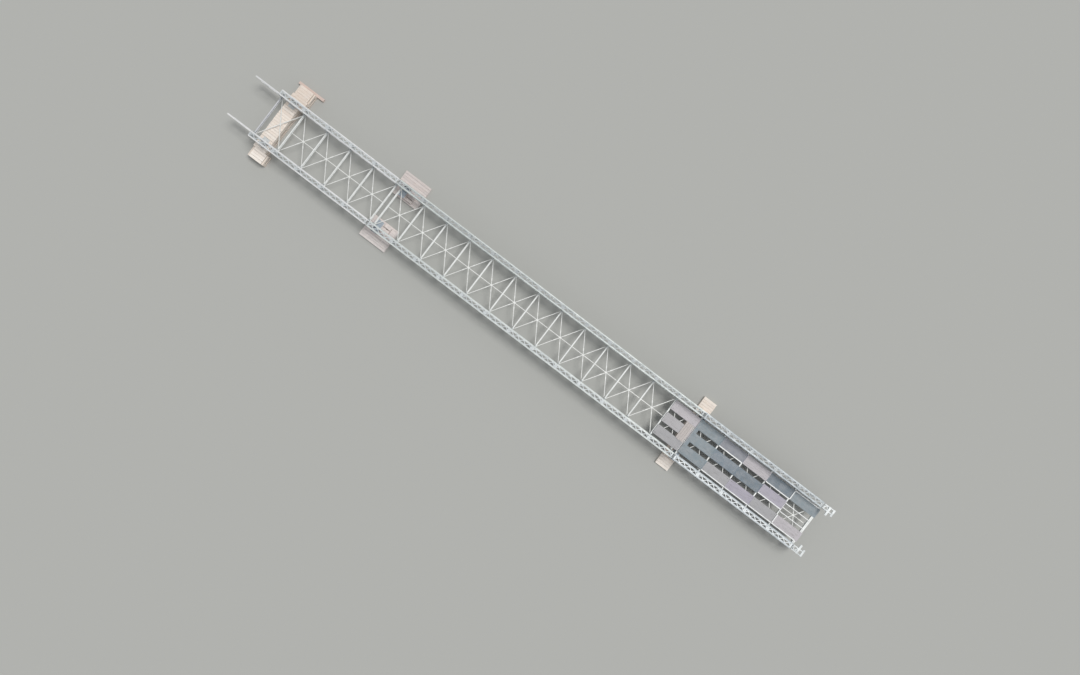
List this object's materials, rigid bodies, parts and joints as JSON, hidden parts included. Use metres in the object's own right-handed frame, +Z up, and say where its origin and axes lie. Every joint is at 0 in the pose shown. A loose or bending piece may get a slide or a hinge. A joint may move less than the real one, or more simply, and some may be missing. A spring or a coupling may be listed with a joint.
{
  "type": "panel truss bridge on launching supports, 1:2 scale model",
  "caption": "Long open panel truss bridge with a light nose, cross beams, sway braces and a loaded tail, held on rollers over timber cribs.",
  "frame": {"origin": "middle of the ground plan's bounding box at ground level", "axes": "+X along the bridge from the nose to the tail, +Y across it to the north girder, +Z up"},
  "size_m": [37.624, 4.8302, 1.4859],
  "materials": {
    "truss_steel": "galvanised, weathered to a pale matt grey",
    "reinforcement_steel": "galvanised, pale matt grey",
    "bracing_steel": "galvanised, pale matt grey",
    "post_steel": "galvanised, pale matt grey",
    "transom_steel": "galvanised, dulled, with some staining",
    "brace_steel": "galvanised, pale matt grey",
    "deck_north": "worn grey non-slip coating",
    "deck_middle": "worn grey non-slip coating",
    "deck_south": "worn grey non-slip coating",
    "edge_bar_steel": "galvanised, pale matt grey",
    "crib_timber": "sawn softwood, dry and pale",
    "bank_timber": "sawn softwood, dry and pale",
    "roller_steel": "galvanised bed with worn rollers"
  },
  "bodies": {
    "root": {"north_inner_nose_truss": "truss_steel", "north_outer_nose_truss": "truss_steel", "south_inner_nose_truss": "truss_steel", "south_outer_nose_truss": "truss_steel", "north_inner_span_truss": "truss_steel", "north_outer_span_truss": "truss_steel", "south_inner_span_truss": "truss_steel", "south_outer_span_truss": "truss_steel", "north_inner_tail_truss": "truss_steel", "north_outer_tail_truss": "truss_steel", "south_inner_tail_truss": "truss_steel", "south_outer_tail_truss": "truss_steel", "north_top_reinforcement": "reinforcement_steel", "south_top_reinforcement": "reinforcement_steel", "north_bottom_reinforcement": "reinforcement_steel", "south_bottom_reinforcement": "reinforcement_steel", "north_nose_lacing": "bracing_steel", "south_nose_lacing": "bracing_steel", "north_span_lacing": "bracing_steel", "south_span_lacing": "bracing_steel", "north_tail_lacing": "bracing_steel", "south_tail_lacing": "bracing_steel", "north_cross_frames": "bracing_steel", "south_cross_frames": "bracing_steel", "rakers": "bracing_steel", "left_junction_posts": "post_steel", "right_junction_posts": "post_steel", "tail_end_frames": "post_steel", "nose_transoms": "transom_steel", "span_transoms": "transom_steel", "tail_transoms": "transom_steel", "nose_sway_braces": "brace_steel", "span_sway_braces": "brace_steel", "tail_sway_braces": "brace_steel", "north_deck_units": "deck_north", "middle_deck_units": "deck_middle", "south_deck_units": "deck_south", "deck_edge_bars": "edge_bar_steel", "crib_timbers": "crib_timber", "crib_top_mats": "crib_timber", "crib_side_baulk": "crib_timber", "left_bank_mats": "bank_timber", "right_bank_mats": "bank_timber", "crib_rollers": "roller_steel", "left_bank_rollers": "roller_steel", "right_bank_rollers": "roller_steel"}
  },
  "joints": []
}
